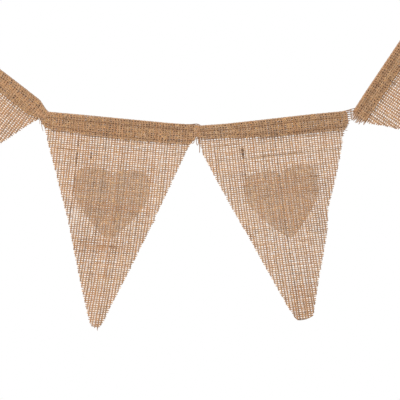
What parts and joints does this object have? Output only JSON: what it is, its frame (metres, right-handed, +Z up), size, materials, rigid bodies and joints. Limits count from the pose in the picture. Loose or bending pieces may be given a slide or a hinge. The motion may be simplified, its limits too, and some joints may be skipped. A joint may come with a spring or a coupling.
{
  "type": "fabric bunting",
  "caption": "String of triangular jute pennants, each with a heart patch on its face, hung on a twine that ends in two knotted loops.",
  "frame": {"origin": "the point where a hook bears in the twine's left-hand loop", "axes": "+Z up, +X from the left-hand loop towards the right-hand one, -Y the side with the turned hems, +Y the side with the hearts"},
  "size_m": [0.6776, 0.0134, 0.3635],
  "materials": {
    "jute_cloth": "open plain weave of natural jute",
    "heart_patch": "matt beige felt",
    "twine": "two-ply natural jute twine"
  },
  "bodies": {
    "root": {"pennant_1": "jute_cloth", "pennant_2": "jute_cloth", "pennant_3": "jute_cloth", "pennant_4": "jute_cloth", "heart_1": "heart_patch", "heart_2": "heart_patch", "heart_3": "heart_patch", "heart_4": "heart_patch", "twine": "twine"}
  },
  "joints": []
}
